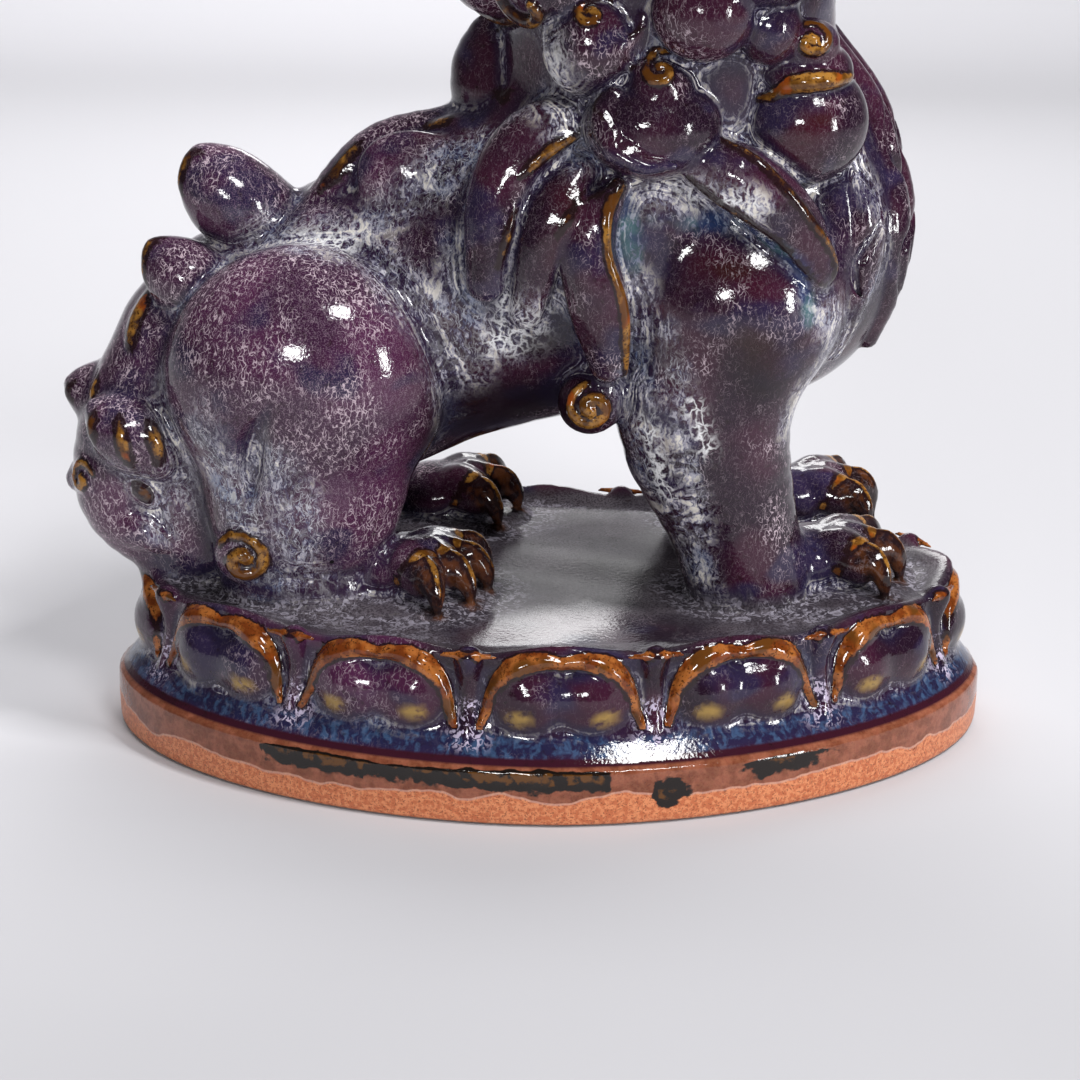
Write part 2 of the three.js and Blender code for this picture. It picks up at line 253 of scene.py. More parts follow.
def rib(points, radii, blend=1.4, proud=0.3, sink=0.2, pieces=4):
    """A raised rib that fires amber, laid along the clay's surface."""
    if len(radii) != len(points):
        radii = np.interp(np.linspace(0, len(radii) - 1, len(points)), range(len(radii)), radii)
    path = smooth_path(points, radii, pieces)
    add_amber(limb(settle(path[:, :3], sink), path[:, 3], pieces=1), blend, proud)


def coil(centre, facing, radius, turns=1.35, hand=1, start=0.0, thick=0.2):
    """The coiled end of a lock: a rib that winds in to the coil's middle, with a groove between turns."""
    out, side, up = frame_to(facing)
    points = []
    for t in np.linspace(0, 1, int(12 * turns) + 1):
        angle = start + hand * t * turns * 2 * math.pi
        reach = radius * (0.82 - 0.72 * t)
        points.append(np.array(centre) + side * reach * math.cos(angle) + up * reach * math.sin(angle))
    full = radius * thick
    rib(points, (full * 0.6, full, full, full * 1.1), 0.7, 0.25, pieces=1)


# Plinth: lengths along the foot's edge from the middle of the -Y side, so that the petals come out alike
EDGE_FINE = 3000
edge_angles = -math.pi / 2 + np.arange(EDGE_FINE + 1) / EDGE_FINE * 2 * math.pi


def oval_point(inset, angle):
    c, s = np.cos(angle), np.sin(angle)
    x = (FOOT_A - inset) * np.sign(c) * np.abs(c) ** (2 / OVAL_POWER)
    y = (FOOT_B - inset) * np.sign(s) * np.abs(s) ** (2 / OVAL_POWER)
    return x, y


edge_x, edge_y = oval_point(0, edge_angles)
edge_run = np.concatenate([[0], np.cumsum(np.hypot(np.diff(edge_x), np.diff(edge_y)))])
PITCH = edge_run[-1] / PETALS


def edge_angle(turn):
    return np.interp((turn % 1) * edge_run[-1], edge_run, edge_angles)


# The plinth's side: height and inset from the foot's edge
SIDE = np.array([(0, 1.4), (0.7, 0.4), (2, 0.1), (8, 0.0), (14.6, 0.2), (15.5, 0.7), (16.1, 2.0), (16.9, 2.5),
                 (18, 3.3), (20, 4.9), (23, 7.0), (28, 9.0), (36, 10.0), (40, 9.8), (46, 8.9)])


def side_inset(height):
    return np.interp(height, SIDE[:, 0], SIDE[:, 1])


def oval_place(x, y):
    """Inset from the foot's edge, and the place across the petals, from the middle of the -Y side."""
    u, v = np.abs(x) / FOOT_A, np.abs(y) / FOOT_B
    out = np.maximum((u ** OVAL_POWER + v ** OVAL_POWER) ** (1 / OVAL_POWER), 1e-3)
    slope = np.hypot((u / out) ** (OVAL_POWER - 1) / FOOT_A, (v / out) ** (OVAL_POWER - 1) / FOOT_B)
    angle = np.arctan2(np.sign(y) * v ** (OVAL_POWER / 2), np.sign(x) * u ** (OVAL_POWER / 2))
    angle = np.where(angle < -math.pi / 2, angle + 2 * math.pi, angle)
    return (1 - out) / slope, np.interp(angle, edge_angles, edge_run) / PITCH


def plinth(x, y, z):
    inset, petal = oval_place(x, y)
    wave = RIM_WAVE * np.cos(2 * math.pi * petal)
    ripple = 0.5 * np.sin(x / 13 + 1.3 * np.sin(y / 17)) * np.sin(y / 11 + 0.8)
    ripple = ripple + 0.35 * np.sin((x + 2 * y) / 23)
    dish = np.clip((inset - 9) / 11, 0, 1)
    dish = dish * dish * (3 - 2 * dish)
    top = (RIM_TOP + wave) * (1 - dish) + (PLINTH_TOP + ripple) * dish
    outer = side_inset(z) - inset
    return -soft_min(-outer, top - z, 2.2)


def on_side(turn, height, proud=0.0):
    """A point on the plinth's side, proud of it by that much."""
    x, y = oval_point(side_inset(height) - proud, edge_angle(turn))
    return float(x), float(y), float(height)


def side_heading(turn):
    """The way that the plinth's side faces, in degrees from +X."""
    ahead, behind = on_side(turn + 0.001, 30), on_side(turn - 0.001, 30)
    return math.degrees(math.atan2(ahead[1] - behind[1], ahead[0] - behind[0])) - 90


def build_plinth():
    cuts, x, y, z = window(LOW, np.array([HIGH[0], HIGH[1], 60.0]))
    block = np.maximum(plinth(x, y, z), -z)
    clay[cuts] = np.minimum(clay[cuts], block)
    for petal in range(PETALS):
        centre = petal / PETALS
        for side in (NEAR, FAR):
            arm = []
            for share in np.linspace(1, 0.02, 8):
                rise = (PETAL_HIGH + 0.6 - PETAL_LOW) * (1 - share ** 3.2) ** 0.8
                height = PETAL_LOW + rise - 1.2 * (1 - share) ** 6
                arm.append(on_side(centre + side * share * PETAL_HALF / PETALS, height, 0.4))
            add_amber(limb(arm, (0.4, 1.3, 2.2, 2.5, 2.1, 1.7, 1.4, 1.1), pieces=2), 1.0, 0.75)
            where = centre + side * 0.17 / PETALS
            spot = on_side(where, 30.0, -2.0)
            add(egg(spot, (6.4, 9.2, 8.8), (0, 0, side_heading(where))), 3.5)
            gold_spots.append((on_side(centre + side * 0.225 / PETALS, 27.0, 3.0), 4.8))
        add(egg(on_side(centre, 29.5, -4.0), (6.2, 17.5, 8.5), (0, 0, side_heading(centre))), 2.0)
        between = (petal + 0.5) / PETALS
        leaf = [on_side(between, 41.5, 0.2), on_side(between, 33, -0.6), on_side(between, 22, -0.9)]
        add(limb(leaf, (3.2, 1.9, 1.0), pieces=3), 2.0)
        tip = [on_side(between + share * 0.012, 42.6, 1.6) for share in (-1, 0, 1)]
        add_amber(limb(tip, (0.6, 1.0, 0.6), pieces=3), 0.8, 0.5)


def build_trunk():
    rump = [(-76, AXIS_Y, 96), (-50, AXIS_Y, 108), (-22, AXIS_Y, 122), (-6, AXIS_Y, 128)]
    add(limb(rump, (40, 40, 41, 42), wide=0.78))
    add(limb([(-16, AXIS_Y, 124), (10, AXIS_Y, 133), (42, AXIS_Y, 136)], (42, 46, 44), wide=0.9), 6.0)
    add(egg((51, AXIS_Y, 136), (41, 37, 47), (0, -10, 0)), 8.0)
    add(limb([(24, AXIS_Y, 150), (27, AXIS_Y - 2, 180), (28, 0, 215)], (42, 43, 40)), 8.0)


def rear_leg(y, side):
    shank = [(-65, y, 92), (-66, y, 70), (-69, y, 54), (-68, y, 44)]
    add(limb(shank, (30, 26, 20, 21), wide=0.6), 6.0)
    add(egg((-65, y - side * 3, 99), (36.5, 25, 36), (side * -6, 0, 0)), 2.2)
    fold = [(-74, 27.5, 98), (-78, 23, 88), (-80, 19, 78), (-80, 16, 70)]
    fold = [(along, y + side * aside, height) for along, aside, height in fold]
    carve(limb(settle(fold, -0.6), (0.6, 3.6, 3.6, 0.8)), 3.0)


def front_leg(y, side):
    shaft = [(46, y, 118), (38, y, 92), (46, y, 64), (52, y, 44)]
    add(limb(shaft, (23, 23, 17.5, 16.5), wide=0.85), 5.0)
    add(egg((45, y + side, 121), (27, 22, 26), (side * -6, 0, 0)), 5.0)


def paw(centre, heading, fan=38, toes=3):
    """A paw: a pad, and toes fanned about a heading in degrees, each with two raised folds over its knuckles
    and a broad claw that hooks down."""
    add(egg((centre[0], centre[1], PLINTH_TOP), (25, 20, 3.2), (0, 0, heading)), 4.0)
    add(egg(centre, (14, 13, 8.5), (0, 0, heading)), 4.0)
    lift = centre[2] + 2
    for i in range(toes):
        bearing = math.radians(heading + fan * (i - (toes - 1) / 2))
        along = np.array([math.cos(bearing), math.sin(bearing), 0])
        across = np.array([-math.sin(bearing), math.cos(bearing), 0])
        root = np.array([centre[0], centre[1], 0])

        def spot(reach, height, aside=0.0):
            return tuple(root + along * reach + across * aside + (0, 0, height))

        add(limb([spot(2, lift - 1), spot(9, lift + 0.5), spot(15, lift - 0.5)], (6, 7.4, 5.8)), 0.9)
        for reach, wide, top, thick in ((6.5, 6.6, 7.2, 1.6), (12.5, 6.2, 6.6, 1.7)):
            fold = []
            for share in (-1, -0.6, 0, 0.6, 1):
                arch = 1 - share * share
                fold.append(spot(reach + 2.4 * arch, lift + top * arch - 1.5, share * wide))
            add_amber(limb(fold, (0.7, thick * 0.85, thick, thick * 0.85, 0.7), pieces=3), 0.9, 0.6)
        hook = [spot(14, lift + 0.8), spot(18.5, lift + 1.5), spot(22.5, lift - 2.5),
                spot(24, PLINTH_TOP + 1.5)]
        claw = limb(hook, (4.2, 3.9, 2.6, 0.8))
        add(claw, 1.0)
        burnt.append(claw)
        rib([spot(16.5, lift + 4.5), spot(19.5, lift + 4.2), spot(22.8, lift), spot(24.2, lift - 4)],
            (0.6, 1.0, 0.9, 0.4), 0.8, 0.2)


def spine_and_tail():
    flames = [
        ([(-75, 8, 135), (-84.5, 4, 143), (-89, 3.5, 149), (-92, 3, 154)], (11.5, 12.2, 8, 3)),
        ([(-90, -1, 120), (-96, -4, 123.5), (-100, -4.5, 128), (-103, -5, 131)], (9.5, 10, 6.5, 3)),
        ([(-66, 6, 136), (-56, 3, 146), (-44, 5, 155), (-26, 7, 162)], (3, 6.5, 8, 5)),
        ([(-6, 8, 156), (-14, 8, 172), (-17, 8, 183)], (14, 14, 7)),
        ([(-104, 10, 84), (-115, 9, 86.5), (-123, 9, 89), (-128.5, 9, 91)], (11, 12, 8, 3.2)),
        ([(-105, -10, 80), (-111, -11, 84), (-116, -11, 87), (-120, -10.5, 90)], (9.5, 10.5, 7, 3)),
        ([(-110, 8, 72), (-122, 8, 67), (-128.5, 8, 65)], (9, 8, 4)),
    ]
    tail = [(-100, 6, 104), (-110, 6, 82), (-115, 4, 64), (-107, 2, 52), (-92, 0, 43)]
    add(limb(tail, (16, 17, 14, 11, 9), wide=1.2), 4.0)
    add(limb([(-88, 4, 84), (-89, 2, 66), (-87, 2, 50)], (16, 15, 12)), 6.0)
    add(limb([(-98, -3, 86), (-98, -5, 66), (-94, -5, 50)], (10, 10, 9)), 6.0)
    for points, radii in flames:
        add(limb(points, radii), 1.6)
    add(limb([(-120, -4, 58), (-111, -9, 57), (-101, -12, 53)], (3, 5.5, 2)), 2.0)
    add(egg((-35, -8, 149), (17, 7, 13), (0, 20, 0)), 3.0)
    add(limb([(-113, -10, 76), (-109, -11, 69), (-105, -9, 62)], (2.0, 3.6, 2.0)), 1.6)
    ribs = [
        ([(-112, -13, 75), (-108.5, -14.5, 69), (-105.5, -12, 63)], (1.0, 2.6, 1.0)),
        ([(-101, 3, 122), (-105, -2, 115), (-108, -6, 107), (-108, -8, 101)], (1.2, 3.6, 3.4, 1.2)),
        ([(-64, 0, 143), (-58, -2, 149), (-53, -2, 156), (-50, 0, 160)], (1.2, 2.2, 2.2, 1.0)),
        ([(-38, 0, 162), (-31, -2, 164), (-25, -3, 163)], (1.4, 3.2, 1.4)),
        ([(-119, -1, 99), (-120.5, -4, 93), (-119, -4, 86)], (1.2, 3.4, 1.2)),
        ([(-127, 3, 94), (-128.5, 6, 90), (-127, 3, 87)], (1.0, 1.8, 1.0)),
        ([(-118, -16, 93), (-120, -16.5, 87), (-117.5, -17, 80)], (1.2, 2.8, 1.0)),
        ([(-113, -19, 92), (-112.5, -22, 87), (-111.5, -22.5, 81), (-110, -20, 76)], (1.5, 2.4, 2.4, 1.5)),
        ([(-105, -18.5, 91), (-104, -20.5, 86), (-103, -20, 81), (-104, -18, 76)], (1.5, 2.6, 2.6, 1.5)),
        ([(-94.5, -2, 142), (-97, 0, 148), (-95, -0.5, 155), (-88, -1.5, 155.5)], (1.0, 2.6, 2.4, 0.8)),
        ([(-105, -8, 119), (-106.5, -7, 126), (-104, -6, 132), (-98, -6, 133.5)], (0.9, 2.3, 2.2, 0.8)),
        ([(-22, -3, 189), (-15, -5, 190), (-9, -4, 188)], (1.6, 3.0, 1.6)),
        ([(-21, -6, 175), (-14, -9, 171), (-7, -8, 174)], (1.0, 2.6, 1.2)),
    ]
    for points, radii in ribs:
        rib(points, radii, sink=0.62 * max(radii), proud=0.25)
    add(egg((-121.5, -3.5, 69.5), (6.2, 6.2, 7.0)), 1.2)
    coil((-125, -7.5, 70), (-0.5, -0.85, 0.1), 6.4, turns=1.0, start=0.5)


def locks(side):
    """Locks that fall from the mane over the neck and shoulder, with the raised edges that fire amber."""
    def y(depth):
        return AXIS_Y + side * depth

    add(limb([(4, y(34), 168), (-8, y(35), 162), (-16, y(38), 149), (-19, y(41), 129)], (7, 9, 8, 5)), 2.6)
    add(limb([(30, y(42), 161), (44, y(44), 155), (55, y(43), 145), (62, y(40), 134)], (6, 8.5, 8, 6)), 1.8)
    upper = [(34, y(44), 168), (44, y(49.5), 163), (54, y(51.5), 154), (61, y(49), 145), (66, y(44), 137),
             (66.5, y(41), 130)]
    lower = [(30, y(47), 157), (36, y(49.5), 151), (45, y(50.5), 146), (52, y(49.5), 142), (58, y(46.5), 136),
             (64, y(42), 130)]
    rib(upper, (0.7, 1.3, 1.4, 1.4, 1.4, 1.0), proud=0.15)
    rib(lower, (0.8, 1.5, 1.1, 0.8, 0.8, 0.8), proud=0.1)
    rib([(4, y(41.5), 166), (-3, y(44), 162.5), (-11, y(44.5), 156)], (0.8, 1.8, 0.8), proud=0.2)
    rib([(-12, y(45.5), 148), (-13.5, y(46), 142), (-16, y(45.5), 134)], (0.6, 1.4, 0.6), proud=0.15)
    if side == NEAR:
        strip = [(4, y(39), 156), (-2, y(41), 147), (-6, y(42), 136), (-9, y(40), 121)]
        add(limb(strip, (5, 7.5, 6.5, 4)), 2.2)
        rib([(5, y(45.5), 153), (1, y(48), 147), (-2, y(48.5), 142)], (0.5, 1.5, 0.5), proud=0.15)
        ribbon = [(13, y(43), 153), (8, y(44), 146), (6, y(44), 137), (9, y(43), 124), (12, y(39), 108)]
        add(limb(ribbon, (2.5, 5.5, 7, 7.5, 5)), 1.4)
        inner = [(13, y(46.5), 155), (10.5, y(49.5), 148), (11, y(50.5), 139), (14, y(48.5), 127),
                 (16, y(46), 116), (18, y(42), 105)]
        outer = [(12, y(46.5), 155.5), (5, y(48.5), 151), (1, y(47), 142), (0.5, y(46.5), 132),
                 (2, y(46), 122), (5, y(44), 112)]
        rib(inner, (1.7, 1.5, 1.3, 1.7, 1.8, 0.9), proud=0.3)
        rib(outer, (1.2, 0.9, 0.6, 0.6, 0.7, 0.5), proud=0.05)
        add(egg((11, y(30), 98), (7.5, 8.5, 8.5)), 3.0)
        add(egg((8, y(33), 96), (8.4, 6.4, 8.4)), 1.4)
        coil((8, y(40), 96), (-0.1, side, 0.15), 8.6, hand=-side, start=1.9)
        add(egg((-81, NEAR_LEG_Y + side * 7, 55), (8.4, 6.0, 8.4)), 1.4)
        coil((-81, NEAR_LEG_Y + side * 11.5, 55), (-0.25, side, 0.1), 9.0, hand=side, start=2.6, turns=1.25)


def chest_strands():
    """Five twisted strands down the chest, each with a furrow that winds down it."""
    for i in range(5):
        start = -52 + 26 * i

        def at(reach, height, swing=0.0):
            bearing = math.radians(start + swing)
            return 51 + reach * math.cos(bearing), AXIS_Y + 0.9 * reach * math.sin(bearing), height

        sway = 3 if i % 2 else -3
        path = [at(17, 184), at(28, 168, sway), at(35.5, 152), at(38, 138, -sway), at(37.5, 123),
                at(34, 108, sway)]
        add(limb(path, (5, 6.5, 5.6, 6.8, 5.6, 3)), 1.2)
        furrow = [at(36, 172, 8), at(41, 160, -6), at(43.5, 146, 7), at(44.5, 132, -6), at(42, 116, 5)]
        carve(limb(settle(furrow, -0.2), (0.3, 1.2, 1.2, 1.2, 0.4)), 1.4)


def in_head(point):
    """A point of the head's own frame, which faces +X, in the row frame."""
    turn = turned((0, 0, HEAD_YAW))
    return tuple(turn @ np.array(point, float) + HEAD_CENTRE)


def head_egg(centre, half, turn=(0, 0, 0)):
    return egg(in_head(centre), half, (turn[0], turn[1], turn[2] + HEAD_YAW))


def head_limb(points, radii):
    return limb([in_head(p) for p in points], radii)


def head():
    add(head_egg((-12, 0, -10), (40, 46, 48)), 6.0)
    add(head_egg((2, 0, 4), (36, 36, 34)), 4.0)
    add(head_egg((32, 0, -10), (24, 25, 16)), 4.0)
    add(head_egg((26, 0, -32), (22, 19, 12)), 2.0)
    add(head_egg((53, 0, -1), (9, 12, 8)), 2.0)
    for side in (NEAR, FAR):
        brow = [(38, side * 5, 14), (37, side * 14, 24), (28, side * 27, 25), (16, side * 37, 17)]
        lip = [(54, side * 5, -14), (49, side * 17, -18), (35, side * 26, -20), (22, side * 30, -11)]
        add(head_egg((30, side * 16, 11), (9.5, 9.5, 9.5)), 1.0)
        add(head_limb([(36, side * 9, 17), (40, side * 16, 19), (36, side * 24, 15)], (1.2, 2.2, 1.2)), 1.2)
        carve(head_egg((39.5, side * 17, 11), (2.6, 3.2, 3.2)), 0.8)
        fang = [(49, side * 12, -15), (48, side * 12, -22), (46, side * 12, -27)]
        add(head_limb(fang, (2.8, 2.3, 0.8)), 0.8)
        add(head_egg((51, side * 9, -2), (7, 6, 6)), 1.4)
        add_amber(head_limb(brow, (4, 5.5, 5, 3.5)), 1.6)
        add(head_limb(lip, (4, 4.5, 4.5, 3)), 1.4)
        add(head_egg((2, side * 39, 24), (5, 9, 15), (side * -28, -14, 0)), 1.6)
    rows = ((-34, 7, 66, 14), (-4, 4, 92, 15.5), (24, 3, 112, 14))
    for up, count, start, size in rows:
        for i in range(count):
            angle = math.radians(start + (360 - 2 * start) * i / (count - 1))
            ring = math.sqrt(1 - ((up + 10) / 54) ** 2)
            centre = (-12 + 36 * ring * math.cos(angle), 44 * ring * math.sin(angle), up)
            facing = turned((0, 0, HEAD_YAW)) @ np.array([math.cos(angle), math.sin(angle), up / 60])
            ball, ridge = knob(in_head(centre), facing, size, hand=1 if i % 2 else -1)
            add(ball, 1.6)
            add_amber(ridge, 1.0, 0.15)
    ball, ridge = knob(in_head((-2, 0, 38)), turned((0, 0, HEAD_YAW)) @ np.array([0.2, 0, 1.0]), 19.5)
    add(ball, 2.0)
    add_amber(ridge, 1.2, 0.15)


def beard_curls():
    """Curls that hang from the beard and mane, with a raised lip or band and an amber coil on top."""
    add(egg((32, -37, 196), (12.5, 12, 12)), 1.4)
    add(egg((48, -33, 192), (8, 9, 9)), 1.6)
    add(egg((21, -31, 168), (17, 13, 13)), 1.2)
    add(egg((22, -33, 177), (9, 9, 8)), 1.2)
    lip = [(11, -38, 177), (8, -39, 170), (11, -42, 164), (18, -44, 160.5), (26, -43.5, 160.5)]
    add(limb(lip, (1.2, 2.2, 2.4, 2.0, 0.8)), 2.0)
    rib(lip[1:4], (0.5, 0.9, 0.5), proud=0.0)
    rib([(9, -36, 181), (6.5, -37, 175), (9, -40, 170)], (0.5, 1.3, 0.5), proud=0.1)
    coil((22, -40, 183), (0, -0.7, 0.7), 6.8, turns=1.15, start=1.2, thick=0.19)
    add(egg((59, -23, 168), (16, 15.5, 15.5)), 1.0)
    add(egg((58, -26, 181), (12, 11, 8)), 1.2)
    band = [(46, -34, 175.5), (52, -39, 178), (58, -40, 179), (65, -38, 179.5), (70.5, -31, 180)]
    rib(band, (0.8, 2.1, 2.4, 2.0, 0.8), proud=0.35)
    add(egg((58, -31, 188), (7.5, 7, 6)), 2.0)
    coil((58, -38, 189), (0, -0.75, 0.65), 6.8, turns=1.15, hand=-1, start=2.2, thick=0.19)
    add(egg((6, -28, 187), (12, 12, 13)), 1.2)
    coil((5, -40, 197), (-0.1, -0.8, 0.6), 6.4, turns=1.15, start=0.6, thick=0.19)
    for shift in (0, 1, 2, 3):
        above = 2.4 * shift
        hair = [(12, -40, 181.5 + above), (16, -39, 184 + above), (18, -35, 187.5 + above)]
        rib(hair, (0.5, 1.0, 0.5), proud=0.0)


build_trunk()
for line, side in ((NEAR_LEG_Y, NEAR), (FAR_LEG_Y, FAR)):
    rear_leg(line, side)
    front_leg(line, side)
build_plinth()
paw((-41, -14, 48), -25, fan=27, toes=4)
paw((-32, 48, 48), -4)
paw((70, -9, 49), -6)
paw((72, 42, 49), 4)
spine_and_tail()
locks(NEAR)
locks(FAR)
chest_strands()
beard_curls()
head()


def blurred(values, cells):
    """Box averages over 2 * cells + 1 grid steps each way."""
    for axis in range(3):
        pad = [(0, 0)] * 3
        pad[axis] = (cells + 1, cells)
        total = np.cumsum(np.pad(values, pad, mode="edge"), axis=axis, dtype=np.float32)
        span = 2 * cells + 1
        size = values.shape[axis]
        upper = np.take(total, np.arange(span, span + size), axis=axis)
        lower = np.take(total, np.arange(size), axis=axis)
        values = (upper - lower) / span
    return values


def skin(values):
    """Corners and four-sided faces of the surface where the values change sign."""
    inside = values < 0
    cell = tuple(s - 1 for s in values.shape)
    corners = [(i, j, k) for i in (0, 1) for j in (0, 1) for k in (0, 1)]

    def part(array, corner):
        return array[tuple(slice(c, c + n) for c, n in zip(corner, cell))]

    filled = sum(part(inside, c).astype(np.int8) for c in corners)
    crossed = (filled > 0) & (filled < 8)
    place = np.argwhere(crossed)
    number = np.full(cell, -1, np.int32)
    number[crossed] = np.arange(len(place))
    total = np.zeros((len(place), 3))
    hits = np.zeros(len(place))
    for first in corners:
        for axis in range(3):
            if first[axis]:
                continue
            second = tuple(c + (i == axis) for i, c in enumerate(first))
            a = part(values, first)[crossed].astype(float)
            b = part(values, second)[crossed].astype(float)
            cut = (a < 0) != (b < 0)
            share = np.where(cut, a / np.where(cut, a - b, 1), 0)
            for i in range(3):
                total[:, i] += cut * (first[i] + (share if i == axis else 0))
            hits += cut
    points = LOW + STEP * (place + total / hits[:, None])
    faces = []
    for axis in range(3):
        others = [i for i in range(3) if i != axis]
        start, stop = [slice(None)] * 3, [slice(None)] * 3
        start[axis], stop[axis] = slice(0, -1), slice(1, None)
        a, b = inside[tuple(start)], inside[tuple(stop)]
        edges = np.argwhere(a != b)
        edges = edges[(edges[:, others[0]] > 0) & (edges[:, others[1]] > 0)]
        edges = edges[(edges[:, others[0]] < cell[others[0]]) & (edges[:, others[1]] < cell[others[1]])]
        outward = a[tuple(edges.T)] ^ (axis == 1)
        ring = []
        for p, q in ((1, 1), (0, 1), (0, 0), (1, 0)):
            around = edges.copy()
            around[:, others[0]] -= p
            around[:, others[1]] -= q
            ring.append(number[tuple(around.T)])
        ring = np.stack(ring, 1)
        faces.append(np.where(outward[:, None], ring, ring[:, ::-1]))
    return points, np.concatenate(faces)


corner_points, corner_faces = skin(clay)
rough = bpy.data.meshes.new("rough_clay")
rough.from_pydata((corner_points * MM).tolist(), [], corner_faces.tolist())
beast = bpy.data.objects.new("glazed_beast", rough)
bpy.context.scene.collection.objects.link(beast)
thin = beast.modifiers.new("thin", "DECIMATE")
thin.ratio = min(1.0, TRIANGLES / (2 * len(corner_faces)))
thin.use_collapse_triangulate = True
graph = bpy.context.evaluated_depsgraph_get()
finished = bpy.data.meshes.new_from_object(beast.evaluated_get(graph))
beast.modifiers.clear()
beast.data = finished
finished.name = "glazed_beast"
bpy.data.meshes.remove(rough)

# Places on the finished surface, in millimetres, kept inside the solid's box
place = np.zeros(len(finished.vertices) * 3)
finished.vertices.foreach_get("co", place)
place = place.reshape(-1, 3)
place = np.clip(place, np.array(solid_low) + BOX_GAP, np.array(solid_high) - BOX_GAP)
finished.vertices.foreach_set("co", place.ravel())
finished.shade_smooth()
finished.update()
place = place / MM


def keep(name, values):
    """Stores one number for each corner of the finished surface, for the glaze to read."""
    finished.attributes.new(name, "FLOAT", "POINT").data.foreach_set("value", values.astype(np.float32))


def fade(low, high, values):
    share = np.clip((values - low) / (high - low), 0, 1)
    return share * share * (3 - 2 * share)


# How far a point lies in a hollow or on a bulge, wide and narrow
wide_hollow = sample(clay - blurred(blurred(clay, max(1, round(3 / STEP))), max(1, round(3 / STEP))), place)
small_hollow = sample(clay - blurred(blurred(clay, 1), 1), place)
keep("hollow", wide_hollow)
keep("crease", small_hollow)

amber_mask = np.zeros(len(place))
x, y, z = place.T
for (low, high, distance), proud in amber:
    close = np.all((place > low - 2) & (place < high + 2), axis=1)
    gap = distance(x[close], y[close], z[close])
    amber_mask[close] = np.maximum(amber_mask[close], 1 - fade(proud - 0.6, proud + 0.3, gap))
keep("amber", amber_mask)

burnt_mask = np.zeros(len(place))
for low, high, distance in burnt:
    close = np.all((place > low - 3) & (place < high + 3), axis=1)
    gap = distance(x[close], y[close], z[close])
    burnt_mask[close] = np.maximum(burnt_mask[close], 1 - fade(0.2, 2.5, gap))
keep("burnt", burnt_mask)

gold_mask = np.zeros(len(place))
for centre, reach in gold_spots:
    away = np.sqrt((((place - centre) * (1, 1, 1.6)) ** 2).sum(1)) / reach
    gold_mask = np.maximum(gold_mask, 1 - fade(0.35, 1.0, away))
keep("gold", gold_mask)


def both_sides(paths):
    """The same paths, and their mirror images on the beast's other side."""
    return paths + [([(a, 2 * AXIS_Y - b, c) for a, b, c in points], radius) for points, radius in paths]


def streams(paths, soft):
    """How far each point lies in soft tubes along the paths: 1 well inside, 0 at soft millimetres outside."""
    total = np.zeros(len(place))
    for points, radius in paths:
        low, high, distance = limb(points, (0.5 * radius, radius, radius, 0.5 * radius))
        close = np.all((place > low - soft) & (place < high + soft), axis=1)
        gap = distance(x[close], y[close], z[close])
        total[close] = np.maximum(total[close], 1 - fade(-0.6 * radius, soft, gap))
    return total


# Where the glaze ran thick and pale down the body
keep("milk", streams(both_sides([
    ([(-77, -8, 135), (-68, -11, 137), (-60, -14, 135), (-52, -16, 136), (-46, -14, 142)], 6.5),
    ([(-84, -14, 124), (-80, -17, 116)], 2.5),
    ([(-41, -16, 144), (-30, -14, 152), (-20, -14, 160)], 5),
    ([(-52, -14, 137), (-39, -25, 126), (-30, -27, 117), (-27, -24, 102), (-32, -13, 83)], 4.5),
    ([(-26, -25, 136), (-24, -28, 119), (-22, -22, 99)], 3.5),
    ([(-12, -29, 129), (-9, -29, 119), (-16, -26, 110)], 7),
    ([(-14, -26, 174), (-3, -32, 180), (-1, -28, 171), (2, -34, 162)], 5),
    ([(-9, -22, 190), (-3, -33, 188)], 5),
    ([(18, -33, 150), (27, -33, 152), (37, -37, 152), (47, -44, 149)], 4),
    ([(18, -32, 128), (18, -28, 113), (21, -30, 93), (26, -29, 76), (34, -28, 59), (39, -27, 48)], 4),
    ([(62, -33, 124), (71, -20, 112), (65, -23, 102), (60, -26, 92)], 6),
    ([(25, -33, 118), (29, -35, 104), (32, -34, 84), (37, -31, 62)], 0.3),
    ([(66, -24, 168), (76, -17, 152), (80, -16, 134), (76, -17, 118)], 1.4),
    ([(-86, -28, 98), (-88, -26, 86), (-82, -28, 72), (-80, -30, 62)], 5),
    ([(-72, -34, 84), (-68, -32, 70), (-67, -29, 54)], 5),
    ([(-80, -30, 51), (-66, -30, 48), (-52, -31, 47), (-40, -37, 45)], 1.2),
    ([(-113, -14, 78), (-106, -15, 68), (-104, -14, 58)], 3),
    ([(-101, -17, 98), (-99, -18, 84), (-96, -14, 66)], 2.5),
]), 6.0))
# Painted shade under the belly and in gaps low on the body, and darker smooth glaze on the shoulder, where
# the pale marks are also quietened
keep("painted_shade_and_dark_glaze", streams(both_sides([
    ([(-34, -14, 84), (-26, -16, 88), (-8, -20, 92), (8, -22, 97)], 11),
    ([(43, -34, 120), (50, -36, 104)], 5),
    ([(-6, -26, 112), (4, -28, 118)], 4),
    ([(-90, -16, 72), (-88, -16, 56)], 3),
]), 9.0))
keep("lace", streams(both_sides([
    ([(-12, -29, 129), (-9, -27, 118), (-16, -26, 112)], 6),
    ([(-70, -10, 136), (-55, -15, 136)], 5),
    ([(22, -31, 92), (28, -30, 74)], 3),
    ([(33, -36, 99), (37, -36, 87)], 1),
    ([(30, -34, 152), (44, -42, 151)], 3),
    ([(-6, -30, 176), (0, -34, 186)], 4),
]), 4.0))
keep("teal", streams([
    ([(15, -32, 150), (16, -31, 144), (17.5, -32, 134)], 2.2),
    ([(22, -31, 146), (34, -31, 145), (47, -37, 143.5), (58, -37, 134), (61, -35, 121)], 1.6),
], 2.5))
